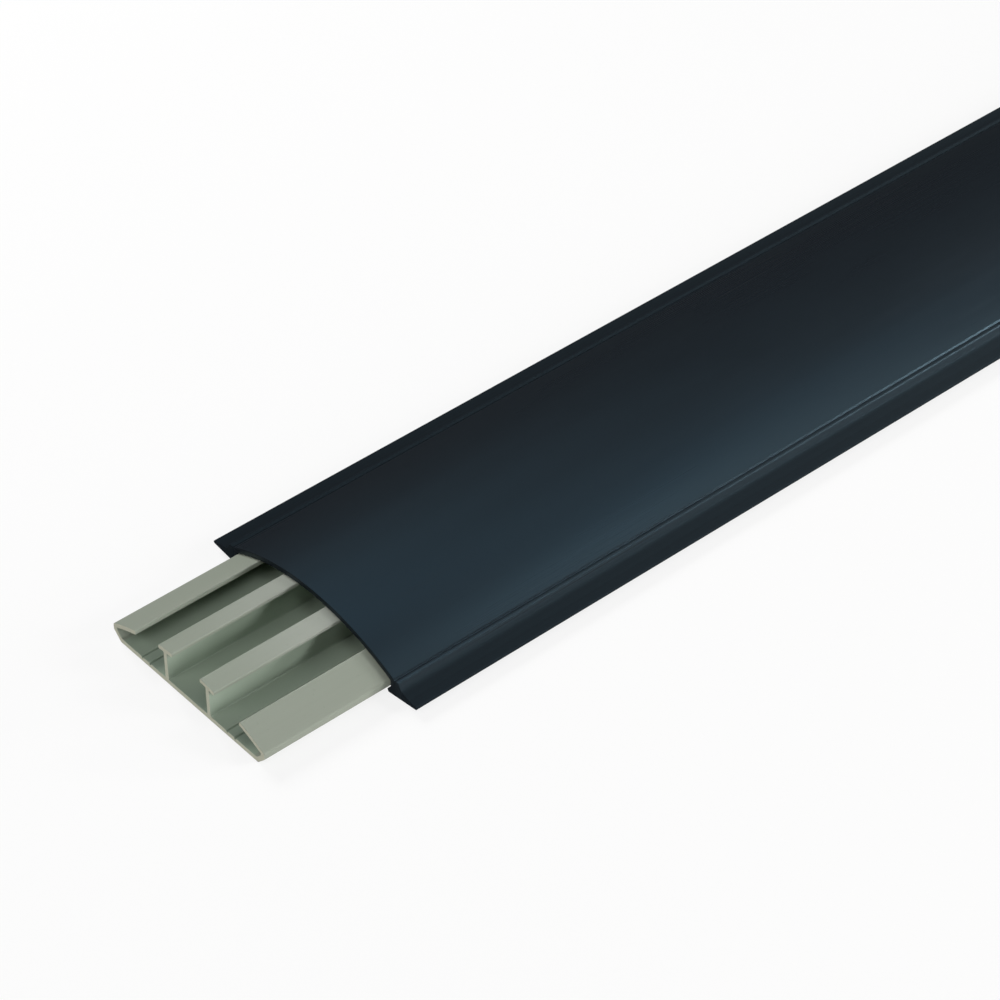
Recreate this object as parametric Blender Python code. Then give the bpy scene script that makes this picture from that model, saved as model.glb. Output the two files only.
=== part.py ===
"""Floor cable channel: a three-way base strip with its domed clip-on cover.

Both pieces are straight extrusions along Y. Each section is drawn for the right-hand half,
in millimetres, x across and z up from the floor, and then mirrored and extruded.
The origin is at the middle of the whole part, on the floor.
"""
from math import asin, atan2, cos, hypot, pi, sin, sqrt, tan

import bmesh
import bpy

MM = 0.001
SHARP_ANGLE = pi / 6

# Lengths along Y
BAR_LENGTH = 1000.0         # the length that each of the two strips is sold in
COVER_SETBACK = 48.0        # the cover is slid back from the base's near end
TOTAL_LENGTH = BAR_LENGTH + COVER_SETBACK
BASE_START = -TOTAL_LENGTH / 2
COVER_START = BASE_START + COVER_SETBACK

# Base strip
BASE_HALF_WIDTH = 37.5
FLOOR_HALF_WIDTH = 34.2
SNAP_HEIGHT = 3.4           # top of the slanted edge that the cover's lips reach under
BASE_CREST = 14.8           # top of the arc that every flange of the base follows
BASE_RADIUS = 82.0
SIDE_WALL = 1.7
FLOOR_WALL = 1.8
SIDE_FLANGE_WALL = 1.5
SIDE_FLANGE_TIP = 26.0      # inner edge of each side flange
SLOT_CENTRES = (23.05, 19.15)
SLOT_WIDTH = 1.0
SLOT_BOTTOM_WIDTH = 0.6
SLOT_DEPTH = 0.65
SLOT_EDGE_RADIUS = 0.13

# T-shaped dividers of the base
STEM_CENTRE = 10.4
STEM_WALL = 1.6
DIVIDER_FLANGE_WALL = 1.4
DIVIDER_FLANGE_INNER = 6.9
DIVIDER_FLANGE_OUTER = 13.75

# Cover
COVER_CLEARANCE = 0.3       # between the base's arc and the underside of the dome
COVER_WALL = 1.9
COVER_HALF_WIDTH = 50.0
COVER_INNER_WALL = 37.85
LIP_TOP = 3.45
LIP_REACH = 36.2            # how far in the lips come under the base's slanted edge
LIP_NOSE = 1.3
LIP_HEEL_X = 36.6
LIP_BOTTOM = 0.2
DOME_EDGE_X = 39.3
CREASE_X = 39.8             # groove between the dome and the wing
CREASE_BOTTOM = 6.65
RIDGE_INNER_X = 40.65
RIDGE_OUTER_X = 41.5
RIDGE_TOP = 7.15
WING_ROOT_X = 43.1
WING_ROOT_TOP = 4.35
WING_MIDDLE_X = 46.4
WING_MIDDLE_TOP = 3.45
WING_TIP_TOP = 3.05
WING_TIP_WALL = 1.0

# Radii of the rounded corners
FLANGE_EDGE_RADIUS = 0.4
DIVIDER_EDGE_RADIUS = 0.35
STEM_FOOT_RADIUS = 0.45
SNAP_EDGE_RADIUS = 0.6
SHOULDER_RADIUS = 1.0
COVER_SHOULDER_RADIUS = 0.8
INSIDE_CORNER_RADIUS = 0.5
LIP_RADIUS = 0.4
DOME_EDGE_RADIUS = 0.5
CREASE_RADIUS = 0.2
RIDGE_RADIUS = 0.6
WING_ROOT_RADIUS = 1.6
WING_MIDDLE_RADIUS = 2.5
WING_TIP_RADIUS = 0.5

ARC_STEP = 1.6              # length of one straight piece along the long arcs
CORNER_STEP = pi / 10       # turn between two points of a rounded corner
EDGE_SHARE = 0.49           # most of a straight edge that one rounded corner may take


def arc_height(x, crest, radius):
    """Height at x of an arc about the middle of the section, whose top is at crest."""
    return crest - radius + sqrt(radius * radius - x * x)


def arc_between(start_x, end_x, crest, radius):
    """Sharp outline corners along an arc, evenly spaced by angle."""
    start, end = asin(start_x / radius), asin(end_x / radius)
    steps = max(2, round(abs(end - start) * radius / ARC_STEP))
    angles = [start + (end - start) * i / steps for i in range(steps + 1)]
    return [(radius * sin(a), crest - radius + radius * cos(a), 0.0) for a in angles]


def with_radius(corner, radius):
    return (corner[0], corner[1], radius)


def rounded(corners):
    """Replace each corner (x, z, radius) by a small arc where its radius isn't zero."""
    points = []
    for i, (x, z, radius) in enumerate(corners):
        if radius == 0.0 or i in (0, len(corners) - 1):
            points.append((x, z))
            continue
        back = (corners[i - 1][0] - x, corners[i - 1][1] - z)
        ahead = (corners[i + 1][0] - x, corners[i + 1][1] - z)
        back_length, ahead_length = hypot(*back), hypot(*ahead)
        turn = atan2(back[0] * ahead[1] - back[1] * ahead[0], back[0] * ahead[0] + back[1] * ahead[1])
        half = abs(turn) / 2
        reach = min(radius / tan(half), EDGE_SHARE * back_length, EDGE_SHARE * ahead_length)
        fitted = reach * tan(half)
        bisector = (back[0] / back_length + ahead[0] / ahead_length,
                    back[1] / back_length + ahead[1] / ahead_length)
        to_centre = fitted / sin(half) / hypot(*bisector)
        centre = (x + bisector[0] * to_centre, z + bisector[1] * to_centre)
        first = (x + back[0] * reach / back_length - centre[0],
                 z + back[1] * reach / back_length - centre[1])
        sweep = (pi - 2 * half) * (-1 if turn > 0 else 1)
        steps = max(2, round(abs(sweep) / CORNER_STEP))
        for k in range(steps + 1):
            angle = sweep * k / steps
            points.append((centre[0] + first[0] * cos(angle) - first[1] * sin(angle),
                           centre[1] + first[0] * sin(angle) + first[1] * cos(angle)))
    return points


def floor_slot(centre):
    """Corners of one marking slot in the floor, from its outer edge to its inner edge."""
    half, bottom_half, bottom = SLOT_WIDTH / 2, SLOT_BOTTOM_WIDTH / 2, FLOOR_WALL - SLOT_DEPTH
    return [(centre + half, FLOOR_WALL, SLOT_EDGE_RADIUS), (centre + bottom_half, bottom, SLOT_EDGE_RADIUS),
            (centre - bottom_half, bottom, SLOT_EDGE_RADIUS), (centre - half, FLOOR_WALL, SLOT_EDGE_RADIUS)]


def divider_half():
    """Corners of the right-hand T divider, from the floor outside it to the floor inside it."""
    outer, inner = STEM_CENTRE + STEM_WALL / 2, STEM_CENTRE - STEM_WALL / 2
    top = arc_between(DIVIDER_FLANGE_OUTER, DIVIDER_FLANGE_INNER, BASE_CREST, BASE_RADIUS)
    top[0] = with_radius(top[0], DIVIDER_EDGE_RADIUS)
    top[-1] = with_radius(top[-1], DIVIDER_EDGE_RADIUS)

    def under_flange(x):
        height = arc_height(x, BASE_CREST - DIVIDER_FLANGE_WALL, BASE_RADIUS - DIVIDER_FLANGE_WALL)
        return (x, height, DIVIDER_EDGE_RADIUS)

    outer_foot, inner_foot = (outer, FLOOR_WALL, STEM_FOOT_RADIUS), (inner, FLOOR_WALL, STEM_FOOT_RADIUS)
    outer_side = [outer_foot, under_flange(outer), under_flange(DIVIDER_FLANGE_OUTER)]
    inner_side = [under_flange(DIVIDER_FLANGE_INNER), under_flange(inner), inner_foot]
    return outer_side + top + inner_side


def base_half():
    """Right half of the base: along the underside, up the side, round the side flange and back."""
    slope = (BASE_HALF_WIDTH - FLOOR_HALF_WIDTH) / SNAP_HEIGHT
    edge_angle = atan2(1.0, slope)
    inner_floor_x = FLOOR_HALF_WIDTH + FLOOR_WALL * slope - SIDE_WALL / sin(edge_angle)
    inner_side_x = BASE_HALF_WIDTH - SIDE_WALL
    inner_snap_z = FLOOR_WALL + (inner_side_x - inner_floor_x) / slope
    top = arc_between(BASE_HALF_WIDTH, SIDE_FLANGE_TIP, BASE_CREST, BASE_RADIUS)
    top[0] = with_radius(top[0], SHOULDER_RADIUS)
    top[-1] = with_radius(top[-1], FLANGE_EDGE_RADIUS)
    under_crest, under_radius = BASE_CREST - SIDE_FLANGE_WALL, BASE_RADIUS - SIDE_FLANGE_WALL
    under_tip = SIDE_FLANGE_TIP * under_radius / BASE_RADIUS
    under = arc_between(under_tip, inner_side_x, under_crest, under_radius)
    under[0] = with_radius(under[0], FLANGE_EDGE_RADIUS)
    under[-1] = with_radius(under[-1], INSIDE_CORNER_RADIUS)
    corners = [(0.0, 0.0, 0.0), (FLOOR_HALF_WIDTH, 0.0, SNAP_EDGE_RADIUS),
               (BASE_HALF_WIDTH, SNAP_HEIGHT, SNAP_EDGE_RADIUS)]
    corners += top + under
    corners += [(inner_side_x, inner_snap_z, INSIDE_CORNER_RADIUS),
                (inner_floor_x, FLOOR_WALL, INSIDE_CORNER_RADIUS)]
    for centre in SLOT_CENTRES:
        corners += floor_slot(centre)
    corners += divider_half()
    corners.append((0.0, FLOOR_WALL, 0.0))
    return rounded(corners)


def cover_half():
    """Right half of the cover: under the dome, round the lip, out to the wing's tip and back."""
    inner_crest, inner_radius = BASE_CREST + COVER_CLEARANCE, BASE_RADIUS + COVER_CLEARANCE
    outer_crest, outer_radius = inner_crest + COVER_WALL, inner_radius + COVER_WALL
    under = arc_between(0.0, COVER_INNER_WALL, inner_crest, inner_radius)
    under[-1] = with_radius(under[-1], COVER_SHOULDER_RADIUS)
    dome = arc_between(DOME_EDGE_X, 0.0, outer_crest, outer_radius)
    dome[0] = with_radius(dome[0], DOME_EDGE_RADIUS)
    lip = [(COVER_INNER_WALL, LIP_TOP, LIP_RADIUS), (LIP_REACH, LIP_NOSE, LIP_RADIUS),
           (LIP_HEEL_X, LIP_BOTTOM, LIP_RADIUS)]
    wing = [(COVER_HALF_WIDTH, WING_TIP_TOP - WING_TIP_WALL, WING_TIP_RADIUS),
            (COVER_HALF_WIDTH, WING_TIP_TOP, WING_TIP_RADIUS),
            (WING_MIDDLE_X, WING_MIDDLE_TOP, WING_MIDDLE_RADIUS),
            (WING_ROOT_X, WING_ROOT_TOP, WING_ROOT_RADIUS),
            (RIDGE_OUTER_X, RIDGE_TOP, RIDGE_RADIUS), (RIDGE_INNER_X, RIDGE_TOP, RIDGE_RADIUS),
            (CREASE_X, CREASE_BOTTOM, CREASE_RADIUS)]
    return rounded(under + lip + wing + dome)


def extruded(name, half_outline, start, length, material):
    """Mirror a half outline about the middle, extrude it along Y and make it one object."""
    mirrored = [(-x, z) for x, z in reversed(half_outline) if x > 0.0]
    outline = half_outline + mirrored
    mesh = bmesh.new()
    near = [mesh.verts.new((x * MM, start * MM, z * MM)) for x, z in outline]
    end_face = mesh.faces.new(near)
    moved = bmesh.ops.extrude_face_region(mesh, geom=[end_face])["geom"]
    far = [item for item in moved if isinstance(item, bmesh.types.BMVert)]
    bmesh.ops.translate(mesh, verts=far, vec=(0.0, length * MM, 0.0))
    bmesh.ops.recalc_face_normals(mesh, faces=mesh.faces)
    data = bpy.data.meshes.new(name)
    mesh.to_mesh(data)
    mesh.free()
    data.shade_smooth()
    data.set_sharp_from_angle(angle=SHARP_ANGLE)
    data.materials.append(material)
    piece = bpy.data.objects.new(name, data)
    bpy.context.collection.objects.link(piece)
    return piece


def plastic(name, colour, roughness):
    material = bpy.data.materials.new(name)
    material.use_nodes = True
    shader = material.node_tree.nodes["Principled BSDF"]
    shader.inputs["Base Color"].default_value = (*colour, 1.0)
    shader.inputs["Roughness"].default_value = roughness
    shader.inputs["Metallic"].default_value = 0.0
    return material


def make_base():
    grey_pvc = plastic("grey_green_pvc", (0.30, 0.33, 0.27), 0.50)
    return extruded("channel_base", base_half(), BASE_START, BAR_LENGTH, grey_pvc)


def make_cover():
    anthracite_pvc = plastic("anthracite_pvc", (0.022, 0.034, 0.045), 0.36)
    return extruded("channel_cover", cover_half(), COVER_START, BAR_LENGTH, anthracite_pvc)


def main():
    for old in list(bpy.data.objects):
        bpy.data.objects.remove(old, do_unlink=True)
    make_base()
    make_cover()


main()
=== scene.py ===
from math import ceil, cos, pi, radians, sin

import bmesh
import bpy
import numpy as np
from mathutils import Matrix, Vector


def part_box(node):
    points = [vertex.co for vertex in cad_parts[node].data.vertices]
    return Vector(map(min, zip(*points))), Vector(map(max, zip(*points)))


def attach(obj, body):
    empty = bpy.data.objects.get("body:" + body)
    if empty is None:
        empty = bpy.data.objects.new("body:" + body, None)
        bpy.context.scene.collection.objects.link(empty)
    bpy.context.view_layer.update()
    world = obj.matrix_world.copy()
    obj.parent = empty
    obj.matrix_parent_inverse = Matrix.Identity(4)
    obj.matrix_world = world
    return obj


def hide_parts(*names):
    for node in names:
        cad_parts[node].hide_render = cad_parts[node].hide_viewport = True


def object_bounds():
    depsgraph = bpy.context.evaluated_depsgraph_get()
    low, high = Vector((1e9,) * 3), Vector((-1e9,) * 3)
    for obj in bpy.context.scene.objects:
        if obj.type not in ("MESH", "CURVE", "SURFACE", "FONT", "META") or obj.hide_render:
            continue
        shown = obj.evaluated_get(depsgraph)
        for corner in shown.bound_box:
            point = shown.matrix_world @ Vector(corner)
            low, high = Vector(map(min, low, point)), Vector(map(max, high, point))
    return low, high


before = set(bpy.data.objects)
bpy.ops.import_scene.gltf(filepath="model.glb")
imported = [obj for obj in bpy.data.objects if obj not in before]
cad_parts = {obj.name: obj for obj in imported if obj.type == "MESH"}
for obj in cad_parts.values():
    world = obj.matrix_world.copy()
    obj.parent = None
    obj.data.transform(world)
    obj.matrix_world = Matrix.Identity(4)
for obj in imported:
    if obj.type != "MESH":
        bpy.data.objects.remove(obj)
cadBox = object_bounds()
print("frame loaded, nodes:", ", ".join(sorted(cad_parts)))

mm = 0.001
nearEnd = cadBox[0].y       # Y of the base's open end


# Shader maths as plain sums: a wire is one output socket of one finish
class Wire:
    def __init__(self, finish, socket):
        self.finish = finish
        self.socket = socket

    def __add__(self, other):
        return self.finish.maths("ADD", self, other)

    def __sub__(self, other):
        return self.finish.maths("SUBTRACT", self, other)

    def __rsub__(self, other):
        return self.finish.maths("SUBTRACT", other, self)

    def __mul__(self, other):
        return self.finish.maths("MULTIPLY", self, other)

    __radd__ = __add__
    __rmul__ = __mul__


class Finish:
    def __init__(self, name):
        self.material = bpy.data.materials.new(name)
        self.material.use_nodes = True
        self.material.node_tree.nodes.clear()

    def node(self, kind, settings, sockets, output=0):
        tree = self.material.node_tree
        made = tree.nodes.new(kind)
        for name, value in settings.items():
            setattr(made, name, value)
        for name, value in sockets.items():
            if isinstance(value, Wire):
                tree.links.new(value.socket, made.inputs[name])
            else:
                made.inputs[name].default_value = value
        return Wire(self, made.outputs[output]) if made.outputs else None

    def maths(self, operation, first, second):
        return self.node("ShaderNodeMath", {"operation": operation}, {0: first, 1: second})

    def scaled(self, vector, factors):
        return self.node("ShaderNodeVectorMath", {"operation": "MULTIPLY"}, {0: vector, 1: factors})

    def axis(self, vector, name):
        return self.node("ShaderNodeSeparateXYZ", {}, {0: vector}, name)

    def noise(self, vector, detail=2.0, roughness=0.5):
        return self.node("ShaderNodeTexNoise", {}, {
            "Vector": vector, "Scale": 1.0, "Detail": detail, "Roughness": roughness}, "Fac")

    def between(self, value, low, high):
        # 0 below low, 1 above high and a soft step between them
        return self.node("ShaderNodeMapRange", {"interpolation_type": "SMOOTHSTEP"}, {
            "Value": value, "From Min": low, "From Max": high}, "Result")

    def mix(self, share, first, second):
        return self.node("ShaderNodeMix", {"data_type": "RGBA"}, {0: share, 6: first, 7: second}, 2)

    def attribute(self, name):
        return self.node("ShaderNodeAttribute", {"attribute_name": name}, {}, "Fac")

    def finished(self, colour, roughness, height, steady):
        # height is in mm, and steady holds the shader's values that are the same all over
        bump = self.node("ShaderNodeBump", {}, {
            "Height": height, "Distance": mm, "Strength": 1.0}, "Normal")
        varied = {"Base Color": colour, "Roughness": roughness, "Normal": bump}
        shader = self.node("ShaderNodeBsdfPrincipled", {}, {**varied, **steady}, "BSDF")
        self.node("ShaderNodeOutputMaterial", {}, {"Surface": shader})
        return self.material


def rgb(red, green, blue):
    return (red, green, blue, 1.0)


white = rgb(1.0, 1.0, 1.0)


# What both plastics share: lines left by the die, a fine grain, and the marks of the saw on the ends.
# Each span says where its mark starts to show and where it shows in full.
plastic = {
    "dieLines": (700.0, 1.2, 1.0),      # lines per metre round the section, and changes per metre along it
    "streakSpan": (0.25, 0.75),
    "hairlines": (2600.0, 6.0, 1.0),
    "grain": (2200.0, 2200.0, 2200.0),
    "clouds": (26.0, 9.0, 26.0),
    "cloudSpan": (0.3, 0.7),
    "bladeCentre": (-0.035, 0.0, -0.21),    # of the saw, below and beside the section
    "kerfMarks": 1500.0,                # per metre out from the blade's centre
    "nookSpan": (0.25, 1.1),            # of the mesh's inner corners, as right angles
    "edgeSpan": (0.3, 1.2),             # of its outer corners
    "leastWear": 0.35,                  # of an edge, between the clouds
}


def plasticParts(finish):
    unrolled = finish.node("ShaderNodeUVMap", {"uv_map": "strip"}, {}, "UV")
    place = finish.node("ShaderNodeTexCoord", {}, {}, "Object")
    flat = finish.scaled(place, (1.0, 0.0, 1.0))
    fromBlade = finish.node("ShaderNodeVectorMath", {"operation": "DISTANCE"},
                            {0: flat, 1: plastic["bladeCentre"]}, "Value")
    kerf = finish.node("ShaderNodeTexNoise", {"noise_dimensions": "1D"}, {
        "W": fromBlade * plastic["kerfMarks"], "Scale": 1.0, "Detail": 3.0, "Roughness": 0.6}, "Fac")
    dieLines = finish.noise(finish.scaled(unrolled, plastic["dieLines"]), detail=3.0, roughness=0.6)
    clouds = finish.noise(finish.scaled(place, plastic["clouds"]), detail=4.0, roughness=0.55)
    wear = plastic["leastWear"] + (1 - plastic["leastWear"]) * clouds
    x = finish.axis(place, "X")
    return {
        "unrolled": unrolled,
        "place": place,
        "x": x,
        "aside": finish.maths("ABSOLUTE", x, 0.0),      # how far from the middle
        "y": finish.axis(place, "Y"),
        "z": finish.axis(place, "Z"),
        "dieLines": dieLines,
        "streak": finish.between(dieLines, *plastic["streakSpan"]),
        "hairlines": finish.noise(finish.scaled(unrolled, plastic["hairlines"])),
        "grain": finish.noise(finish.scaled(place, plastic["grain"])),
        "cloud": finish.between(clouds, *plastic["cloudSpan"]),
        "kerf": kerf,
        "cut": finish.attribute("cut"),
        "nook": finish.between(finish.attribute("nook"), *plastic["nookSpan"]),
        "worn": finish.between(finish.attribute("edge"), *plastic["edgeSpan"]) * wear,
    }


def cloudy(part, shares):
    # the first share everywhere, and the second one more inside the clouds
    return shares[0] + shares[1] * part["cloud"]


def paleMix(finish, part, look):
    inClouds, inStreaks = look["paleShares"]
    share = part["cloud"] * inClouds + part["streak"] * inStreaks
    return finish.mix(share, look["colour"], look["paleColour"])


def agedMix(finish, part, look, colour):
    # dust in the inner corners, paler outer ones, and the sawn ends, which on the cover carry painted
    # shade
    colour = finish.mix(part["nook"] * cloudy(part, look["dustShares"]), colour, look["dustColour"])
    colour = finish.mix(part["worn"] * look["wornShare"], colour, look["edgeColour"])
    cutLeast = look["cutLeast"]
    return finish.mix(part["cut"] * (cutLeast + (1 - cutLeast) * part["kerf"]), colour, look["cutColour"])


def roughMix(part, look):
    rough = look["roughness"]
    return (rough["even"] + rough["hairlines"] * (part["hairlines"] - 0.5)
            + rough["cloud"] * (part["cloud"] - 0.5) + rough["cut"] * part["cut"])


def heightMix(part, look):
    tall = look["heights"]
    return (tall["dieLines"] * part["dieLines"] + tall["hairlines"] * part["hairlines"]
            + tall["grain"] * part["grain"] + part["cut"] * part["kerf"] * tall["kerf"])


# Base strip: semi-matt grey-green rigid PVC
baseLook = {
    "colour": rgb(0.290, 0.318, 0.262),
    "paleColour": rgb(0.312, 0.340, 0.282),
    "paleShares": (0.55, 0.35),             # in the clouds and in the streaks
    "topHighlightColour": rgb(0.375, 0.395, 0.350),    # painted highlight: the dividers' tops paler nearer the cover
    "topHighlightShares": (0.6, 0.3),
    "topHighlightReach": (4 * mm, 46 * mm),           # from the open end
    "headHeights": (10.0 * mm, 11.5 * mm),  # above which only the dividers' heads stand
    "waysBounceColour": rgb(0.330, 0.398, 0.319),    # painted bounce light: the cable ways greener and lighter than the tops
    "flangeHeights": (6.2 * mm, 7.6 * mm),  # above which only flanges stand, beside the dividers
    "flangesFrom": (17 * mm, 19 * mm),      # from the middle
    "sidesFrom": (32 * mm, 33 * mm),        # from the middle
    "specks": (900.0, 700.0, 900.0),        # per metre
    "speckSpan": (0.71, 0.76),
    "speckShare": 0.10,
    "dustColour": rgb(0.160, 0.200, 0.150),
    "dustShares": (0.25, 0.35),
    "edgeColour": rgb(0.46, 0.48, 0.42),
    "wornShare": 0.55,
    "cutColour": rgb(0.520, 0.512, 0.395),
    "cutLeast": 0.55,                       # of its colour, between the saw's marks
    "roughness": {"even": 0.50, "hairlines": 0.10, "cloud": 0.05, "cut": 0.12},
    "heights": {"dieLines": 0.010, "hairlines": 0.003, "grain": 0.0025, "kerf": 0.030},     # in mm
    "ior": 1.46,
}


def basePlastic():
    look = baseLook
    finish = Finish("base_plastic")
    part = plasticParts(finish)
    colour = paleMix(finish, part, look)
    heads = finish.between(part["z"], *look["headHeights"])
    # painted highlight on the dividers' tops, growing from the open end towards the cover and broken up by
    # the clouds
    topHighlight = heads * finish.between(part["y"] - nearEnd, *look["topHighlightReach"])
    colour = finish.mix(topHighlight * cloudy(part, look["topHighlightShares"]), colour, look["topHighlightColour"])
    flanges = (finish.between(part["z"], *look["flangeHeights"])
               * finish.between(part["aside"], *look["flangesFrom"]))
    sides = finish.between(part["aside"], *look["sidesFrom"])
    inner = (1 - flanges) * (1 - heads) * (1 - sides)
    # painted bounce light: the walls and floors of the cable ways get a greener, lighter colour
    colour = finish.mix(inner, colour, look["waysBounceColour"])
    specks = finish.noise(finish.scaled(part["place"], look["specks"]), detail=1.0)
    speck = finish.between(specks, *look["speckSpan"])
    colour = finish.mix(speck * look["speckShare"], colour, look["dustColour"])
    colour = agedMix(finish, part, look, colour)
    return finish.finished(colour, roughMix(part, look), heightMix(part, look), {"IOR": look["ior"]})


# Cover strip: satin blue-anthracite PVC
coverLook = {
    "colour": rgb(0.0120, 0.0155, 0.0195),
    "paleColour": rgb(0.0140, 0.0182, 0.0226),
    "paleShares": (0.4, 0.3),               # in the clouds and in the streaks
    "wingColour": rgb(0.0078, 0.0096, 0.0116),
    "wingShare": 0.9,
    "wingFrom": (42.2 * mm, 43.2 * mm),     # from the middle: the wings are duller than the dome
    "leftRidgeFrom": (38.9 * mm, 39.5 * mm),    # the ridge on the left is duller too, and its darker colour there is painted shade
    "ridgeHighlightShare": 0.45,                     # of the edges' colour: a painted highlight on the ridge on the right only
    "ridgeHighlightFrom": (40.0 * mm, 40.6 * mm),
    "ridgeHighlightTo": (42.2 * mm, 43.0 * mm),
    "dustColour": rgb(0.024, 0.027, 0.028),
    "dustShares": (0.0, 0.25),
    # also the colour of the painted highlight on the ridge on the right
    "edgeColour": rgb(0.036, 0.050, 0.060),
    "wornShare": 0.3,
    # painted shade: the cover's sawn ends darker than its own plastic, standing in for the gap's shadow
    # along them
    "cutColour": rgb(0.008, 0.010, 0.013),
    "cutLeast": 0.5,                        # of its colour, between the saw's marks
    "rubs": (380.0, 14.0, 1.0),             # per metre round the section and along it
    "rubSpan": (0.55, 0.8),
    "roughness": {"even": 0.29, "hairlines": 0.06, "cloud": 0.04, "cut": 0.20,
                  "rub": 0.07, "nook": 0.30, "wing": 0.42},
    "heights": {"dieLines": 0.0015, "hairlines": 0.0008, "grain": 0.0015, "kerf": 0.025},   # in mm
    "ior": 1.47,
    "glossTint": rgb(0.42, 0.78, 1.0),
}


def coverPlastic():
    look = coverLook
    finish = Finish("cover_plastic")
    part = plasticParts(finish)
    colour = paleMix(finish, part, look)
    # painted shade: the ridge on the left only takes the wings' darker colour, as well as their roughness
    leftRidge = finish.between(0 - part["x"], *look["leftRidgeFrom"])
    wing = finish.maths("MINIMUM", finish.between(part["aside"], *look["wingFrom"]) + leftRidge, 1.0)
    colour = finish.mix(wing * look["wingShare"], colour, look["wingColour"])
    # painted highlight: the ridge on the right is paler
    ridge = (finish.between(part["x"], *look["ridgeHighlightFrom"])
             * (1 - finish.between(part["x"], *look["ridgeHighlightTo"])))
    colour = finish.mix(ridge * look["ridgeHighlightShare"], colour, look["edgeColour"])
    colour = agedMix(finish, part, look, colour)
    rough = look["roughness"]
    rubs = finish.noise(finish.scaled(part["unrolled"], look["rubs"]), detail=4.0, roughness=0.65)
    roughness = (roughMix(part, look) + rough["rub"] * finish.between(rubs, *look["rubSpan"])
                 + rough["nook"] * part["nook"] + rough["wing"] * wing)
    steady = {"IOR": look["ior"], "Specular Tint": look["glossTint"]}
    return finish.finished(colour, roughness, heightMix(part, look), steady)


# How both strips are meshed from their packed sections
mesh = {
    "weld": 0.001 * mm,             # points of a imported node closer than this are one
    "flatness": 0.01 * mm,          # of the near end
    "leastTurn": radians(0.05),     # points that turn less than this are left out
    "widestStep": 0.7 * mm,         # between two points of a section
    "gentleTurn": radians(24),      # points that turn less than this lie on one curve
    "evenSides": 2.2,               # the sides of one curve differ in length by less than this factor
    "arris": 0.09 * mm,             # rounding of the sawn edges
    "arrisSteps": 3,
    "steady": 0.06 * mm,            # a ring past each rounding, from which the sides shade dead straight
    "edgeReach": 0.55 * mm,         # how far from a corner its wear and its dust reach
    "stretch": 50 * mm,             # between two rings along the strip
    "sharpAngle": radians(40),
}


def sectionOf(node):
    # the near end's outline, with the plastic on its left, as points (x, z)
    data = bmesh.new()
    data.from_mesh(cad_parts[node].data)
    bmesh.ops.remove_doubles(data, verts=data.verts, dist=mesh["weld"])
    near = min(vert.co.y for vert in data.verts)
    faces = {face for face in data.faces
             if all(abs(vert.co.y - near) < mesh["flatness"] for vert in face.verts)}
    after = {}
    for face in faces:
        for corner in face.loops:
            if sum(other in faces for other in corner.edge.link_faces) == 1:
                after[corner.vert] = corner.link_loop_next.vert
    start = min(after, key=lambda vert: (round(abs(vert.co.x) / mm), vert.co.z))
    points, vert = [], start
    while not points or vert != start:
        points.append((vert.co.x, vert.co.z))
        vert = after[vert]
    data.free()
    points = np.array(points)
    return points[np.abs(turnsOf(points)) > mesh["leastTurn"]]


def turnsOf(points):
    # how far the outline turns at each point, above 0 at an outer corner
    ahead = np.roll(points, -1, 0) - points
    back = np.roll(ahead, 1, 0)
    return np.arctan2(back[:, 0] * ahead[:, 1] - back[:, 1] * ahead[:, 0], (back * ahead).sum(1))


def refined(points):
    # closer points, on curves where the outline bends gently and straight between its corners
    sides = np.roll(points, -1, 0) - points
    lengths = np.hypot(*sides.T)
    backs = np.roll(lengths, 1)
    even = np.maximum(lengths, backs) < mesh["evenSides"] * np.minimum(lengths, backs)
    curved = even & (np.abs(turnsOf(points)) < mesh["gentleTurn"])
    directions = sides / lengths[:, None]
    tangents = directions + np.roll(directions, 1, 0)
    tangents /= np.hypot(*tangents.T)[:, None]
    finer = []
    for i, length in enumerate(lengths):
        j = (i + 1) % len(points)
        leave = length * (tangents[i] if curved[i] else directions[i])
        arrive = length * (tangents[j] if curved[j] else directions[i])
        steps = max(ceil(length / mesh["widestStep"]), 2 if curved[i] or curved[j] else 1)
        for t in np.arange(steps) / steps:
            finer.append(points[i] * (2 * t ** 3 - 3 * t ** 2 + 1) + leave * (t ** 3 - 2 * t ** 2 + t)
                         + points[j] * (3 * t ** 2 - 2 * t ** 3) + arrive * (t ** 3 - t ** 2))
    return np.clip(finer, points.min(0), points.max(0))


def bendsOf(points, around, length):
    # the turn near each point: 1 at a square outer edge, -1 in a square inner corner
    gaps = np.abs(around[:, None] - around)
    gaps = np.minimum(gaps, length - gaps)
    return np.clip(1 - gaps / mesh["edgeReach"], 0, 1) @ turnsOf(points) / (pi / 2)


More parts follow.
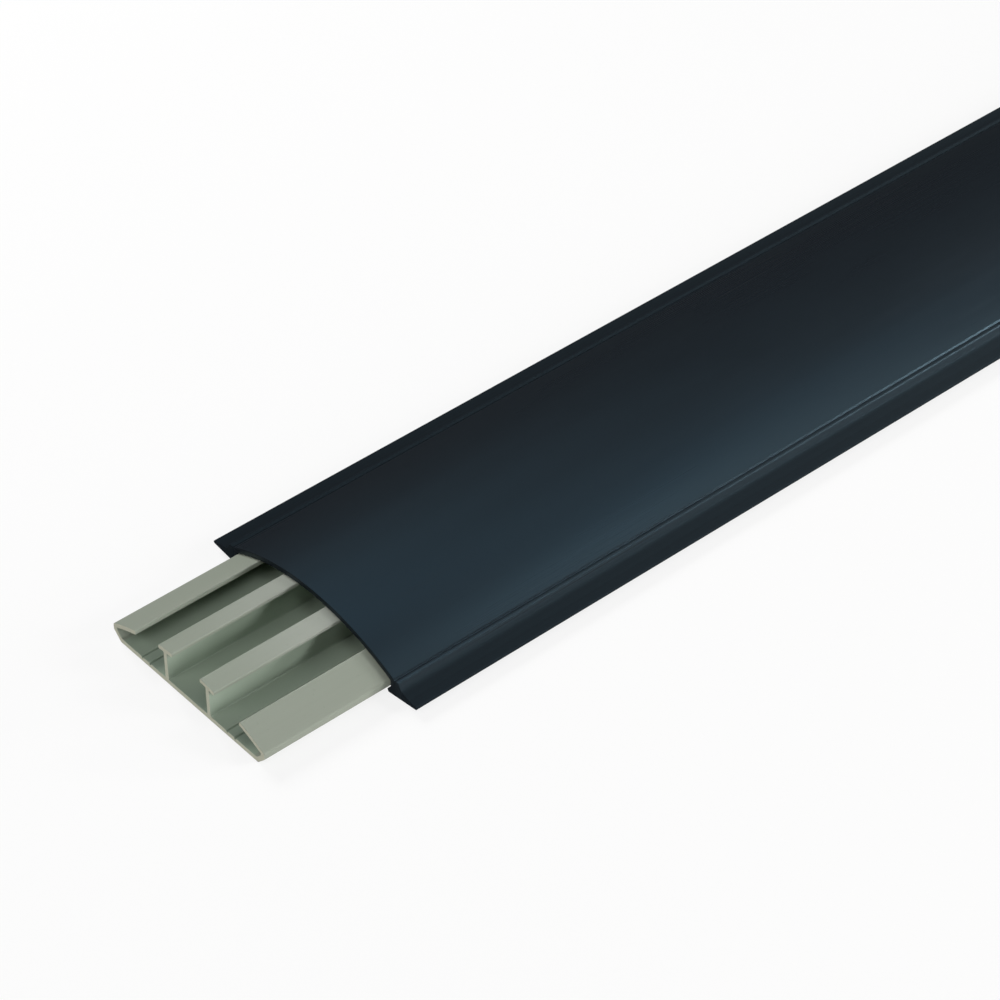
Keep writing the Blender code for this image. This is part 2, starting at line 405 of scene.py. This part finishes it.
def stripPiece(name, node, material):
    # the node's strip again, with finer curves, rounded sawn edges and marks for its finish
    points = refined(sectionOf(node))
    sides = np.hypot(*(np.roll(points, -1, 0) - points).T)
    around = np.concatenate(([0.0], np.cumsum(sides)[:-1]))
    length = sides.sum()
    bends = bendsOf(points, around, length)
    across = np.roll(points, -1, 0) - np.roll(points, 1, 0)
    outward = np.stack((across[:, 1], -across[:, 0]), 1) / np.hypot(*across.T)[:, None]
    low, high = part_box(node)
    arris, steps = mesh["arris"], mesh["arrisSteps"]
    rings = []
    for step in range(steps + 1):
        angle = pi / 2 * step / steps
        rings.append((arris * (1 - cos(angle)), arris * (1 - sin(angle)), 1 - step / steps))
    rings += [(arris + mesh["steady"], 0.0, 0.0)]
    body = high.y - low.y - 2 * rings[-1][0]
    pieces = ceil(body / mesh["stretch"])
    middle = [(rings[-1][0] + body * k / pieces, 0.0, 0.0) for k in range(1, pieces)]
    rings += middle + [(high.y - low.y - y, inset, cut) for y, inset, cut in reversed(rings)]
    verts, cuts = [], []
    for y, inset, cut in rings:
        ring = points - inset * outward
        verts += [(x, low.y + y, z) for x, z in ring]
        cuts += [cut] * len(ring)
    count = len(points)
    faces, uvs = [tuple(range(count))], [(x, z) for x, z in points]
    for k in range(len(rings) - 1):
        for i in range(count):
            j = (i + 1) % count
            faces.append((k * count + j, k * count + i, (k + 1) * count + i, (k + 1) * count + j))
            left, right = around[i], around[i] + sides[i]
            here, there = rings[k][0], rings[k + 1][0]
            uvs += [(right, here), (left, here), (left, there), (right, there)]
    last = (len(rings) - 1) * count
    faces.append(tuple(range(last + count - 1, last - 1, -1)))
    uvs += [(x, z) for x, z in points[::-1]]
    data = bpy.data.meshes.new(name)
    data.from_pydata(verts, [], faces)
    data.uv_layers.new(name="strip").data.foreach_set("uv", np.array(uvs, np.float32).ravel())
    marks = {"cut": np.array(cuts), "edge": np.tile(bends.clip(0, 2), len(rings)),
             "nook": np.tile((-bends).clip(0, 2), len(rings))}
    for mark, values in marks.items():
        data.attributes.new(mark, "FLOAT", "POINT").data.foreach_set("value", values.astype(np.float32))
    data.shade_smooth()
    data.set_sharp_from_angle(angle=mesh["sharpAngle"])
    data.materials.append(material)
    piece = bpy.data.objects.new(name, data)
    bpy.context.scene.collection.objects.link(piece)
    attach(piece, "root")
    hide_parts(node)
    print(f"{name}: {count} points round its section, {len(data.polygons)} faces")


stripPiece("base_strip", "channel_base", basePlastic())
stripPiece("cover_strip", "channel_cover", coverPlastic())


# Floor, world and lights
studio = {
    "floorColour": rgb(0.165, 0.165, 0.164),
    "mottleColour": rgb(0.172, 0.172, 0.171),
    "mottles": (6.0, 6.0, 6.0),     # per metre
    "floorGlow": 0.81,              # light of its own, so that it is even and shadows stay faint on it
    "floorHalfWidth": 12.0,
    "floorDrop": 0.1 * mm,          # below the strip's own underside
    "skyColour": rgb(0.95, 0.97, 1.0),
    "skyStrength": 0.02,
    "backdropStrength": 0.98,       # what the camera sees behind the floor
    "lightDistance": 1.5,           # of every light from the point that it aims at
    "aimFromEnd": 0.174,            # that point, on the floor and along the strip from its near end
}


def paleFloor():
    finish = Finish("pale_floor")
    place = finish.node("ShaderNodeTexCoord", {}, {}, "Object")
    mottle = finish.noise(finish.scaled(place, studio["mottles"]), detail=3.0)
    colour = finish.mix(mottle, studio["floorColour"], studio["mottleColour"])
    shader = finish.node("ShaderNodeBsdfDiffuse", {}, {"Color": colour})
    glow = finish.node("ShaderNodeEmission", {}, {"Color": white, "Strength": studio["floorGlow"]})
    both = finish.node("ShaderNodeAddShader", {}, {0: shader, 1: glow})
    finish.node("ShaderNodeOutputMaterial", {}, {"Surface": both})
    half = studio["floorHalfWidth"]
    data = bpy.data.meshes.new("floor")
    corners = [(-half, -half, 0), (half, -half, 0), (half, half, 0), (-half, half, 0)]
    data.from_pydata(corners, [], [(0, 1, 2, 3)])
    data.materials.append(finish.material)
    floor = bpy.data.objects.new("floor", data)
    floor.location.z = cadBox[0].z - studio["floorDrop"]
    floor.visible_glossy = False
    bpy.context.scene.collection.objects.link(floor)


def studioWorld():
    world = bpy.data.worlds.new("studio")
    world.use_nodes = True
    nodes, links = world.node_tree.nodes, world.node_tree.links
    nodes.clear()
    seen, sky = nodes.new("ShaderNodeBackground"), nodes.new("ShaderNodeBackground")
    seen.inputs["Color"].default_value = white
    seen.inputs["Strength"].default_value = studio["backdropStrength"]
    sky.inputs["Color"].default_value = studio["skyColour"]
    sky.inputs["Strength"].default_value = studio["skyStrength"]
    ray, both = nodes.new("ShaderNodeLightPath"), nodes.new("ShaderNodeMixShader")
    links.new(ray.outputs["Is Camera Ray"], both.inputs[0])
    links.new(sky.outputs[0], both.inputs[1])
    links.new(seen.outputs[0], both.inputs[2])
    links.new(both.outputs[0], nodes.new("ShaderNodeOutputWorld").inputs[0])
    bpy.context.scene.world = world


# Fills light the plastic softly and aren't mirrored in it: the turn from +X towards +Y and the height,
# in degrees, that they shine from, then their size in metres and their power
fills = {
    "keyLow": {"turn": 52, "height": 10, "size": (0.3, 0.2), "watts": 10.0},
    "keySide": {"turn": 33, "height": 23, "size": (0.4, 0.3), "watts": 10.0},
    "keyHigh": {"turn": 54, "height": 33, "size": (0.4, 0.4), "watts": 1.5},
    "left": {"turn": 180, "height": 33, "size": (0.5, 0.5), "watts": 16.5},
    "front": {"turn": 270, "height": 42, "size": (0.9, 0.6), "watts": 5.6},
    "frontTop": {"turn": 330, "height": 61, "size": (0.6, 0.6), "watts": 3.1},
    "frontRight": {"turn": 310, "height": 8, "size": (0.6, 0.3), "watts": 2.3},
}

# An arch of panels stands over the strip, from its left to its right, and shows only in the gloss of the
# plastic: each panel's place along the arch and how far it leans in over the near end, in degrees, and
# its power
arch = {
    "foot": Vector((-0.89, 0.455, 0.0)).normalized(),
    "back": Vector((0.414, 0.81, -0.416)).normalized(),     # the side that the panels leave dark
    "panelSize": (0.5, 0.5),
    "panelColour": (0.60, 0.86, 1.0),
    "panels": ((14, 18, 0.06), (32, 19.5, 0.31), (50, 18.5, 0.58), (68, 12, 0.70), (80, -5, 0.60)),
    "glows": {      # single panels off the arch, placed as the fills are but seen only in the gloss
        "farGlow": {"turn": 98, "height": 19, "size": (0.4, 0.4), "watts": 4.5},
        "rightGlow": {"turn": 60, "height": 52, "size": (0.45, 0.7), "watts": 1.35},
        "ridgeGlow": {"turn": 54, "height": 25, "size": (0.3, 0.3), "watts": 8.0},
        "sideGlow": {"turn": 2, "height": 17, "size": (0.9, 0.3), "watts": 0.4},
        "backGlow": {"turn": 315, "height": 17, "size": (0.9, 0.3), "watts": 1.1},
        "endGlow": {"turn": 268, "height": 17, "size": (0.9, 0.3), "watts": 0.7},
    },
}
lit = Vector((0.0, nearEnd + studio["aimFromEnd"], 0.0))


def softLight(name, toward, size, watts, shows, colour=(1.0, 1.0, 1.0)):
    data = bpy.data.lights.new(name, "AREA")
    data.shape = "RECTANGLE"
    data.size, data.size_y = size
    data.energy = watts
    data.color = colour
    lamp = bpy.data.objects.new(name, data)
    lamp.location = lit + toward * studio["lightDistance"]
    lamp.rotation_euler = (-toward).to_track_quat("-Z", "Y").to_euler()
    lamp.visible_glossy = shows == "gloss"
    lamp.visible_diffuse = shows != "gloss"
    bpy.context.scene.collection.objects.link(lamp)


def directionOf(turn, height):
    turn, height = radians(turn), radians(height)
    return Vector((cos(turn) * cos(height), sin(turn) * cos(height), sin(height)))


def studioLights():
    for name, fill in fills.items():
        softLight(name, directionOf(fill["turn"], fill["height"]), fill["size"], fill["watts"], "colour")
    for name, glow in arch["glows"].items():
        softLight(name, directionOf(glow["turn"], glow["height"]), glow["size"], glow["watts"], "gloss")
    crown = arch["back"].cross(arch["foot"])
    crown *= 1 if crown.z > 0 else -1
    for place, lean, watts in arch["panels"]:
        place, lean = radians(place), radians(lean)
        along = cos(place) * arch["foot"] + sin(place) * crown
        toward = cos(lean) * along - sin(lean) * arch["back"]
        softLight("panel", toward, arch["panelSize"], watts, "gloss", arch["panelColour"])


paleFloor()
studioWorld()
studioLights()
print("floor, world and", len(fills) + len(arch["panels"]) + len(arch["glows"]), "lights made")


# Camera: the photo's viewing angle
view = {
    "aim": Vector((-7.75 * mm, nearEnd + 131.1 * mm, 0.0)),     # where its axis meets the floor
    "azimuth": radians(49.235),
    "elevation": radians(41.308),
    "roll": radians(-0.167),
    "distance": 1138.5 * mm,
    "lens": 127.61,             # in mm, on a sensor this wide
    "sensorWidth": 36.0,
    "nearClip": 0.01,
}


def photoCamera():
    azimuth, elevation = view["azimuth"], view["elevation"]
    back = Vector((sin(azimuth) * cos(elevation), -cos(azimuth) * cos(elevation), sin(elevation)))
    right = Vector((cos(azimuth), sin(azimuth), 0.0))
    turn = Matrix((right, back.cross(right), back)).transposed() @ Matrix.Rotation(view["roll"], 3, "Z")
    data = bpy.data.cameras.new("camera")
    data.sensor_width = view["sensorWidth"]
    data.lens = view["lens"]
    data.clip_start = view["nearClip"]
    camera = bpy.data.objects.new("camera", data)
    camera.matrix_world = Matrix.LocRotScale(view["aim"] + back * view["distance"], turn, None)
    bpy.context.scene.collection.objects.link(camera)
    bpy.context.scene.camera = camera


photoCamera()
bpy.context.scene.view_settings.view_transform = "Standard"
bpy.context.scene.view_settings.look = "None"
print("camera set")
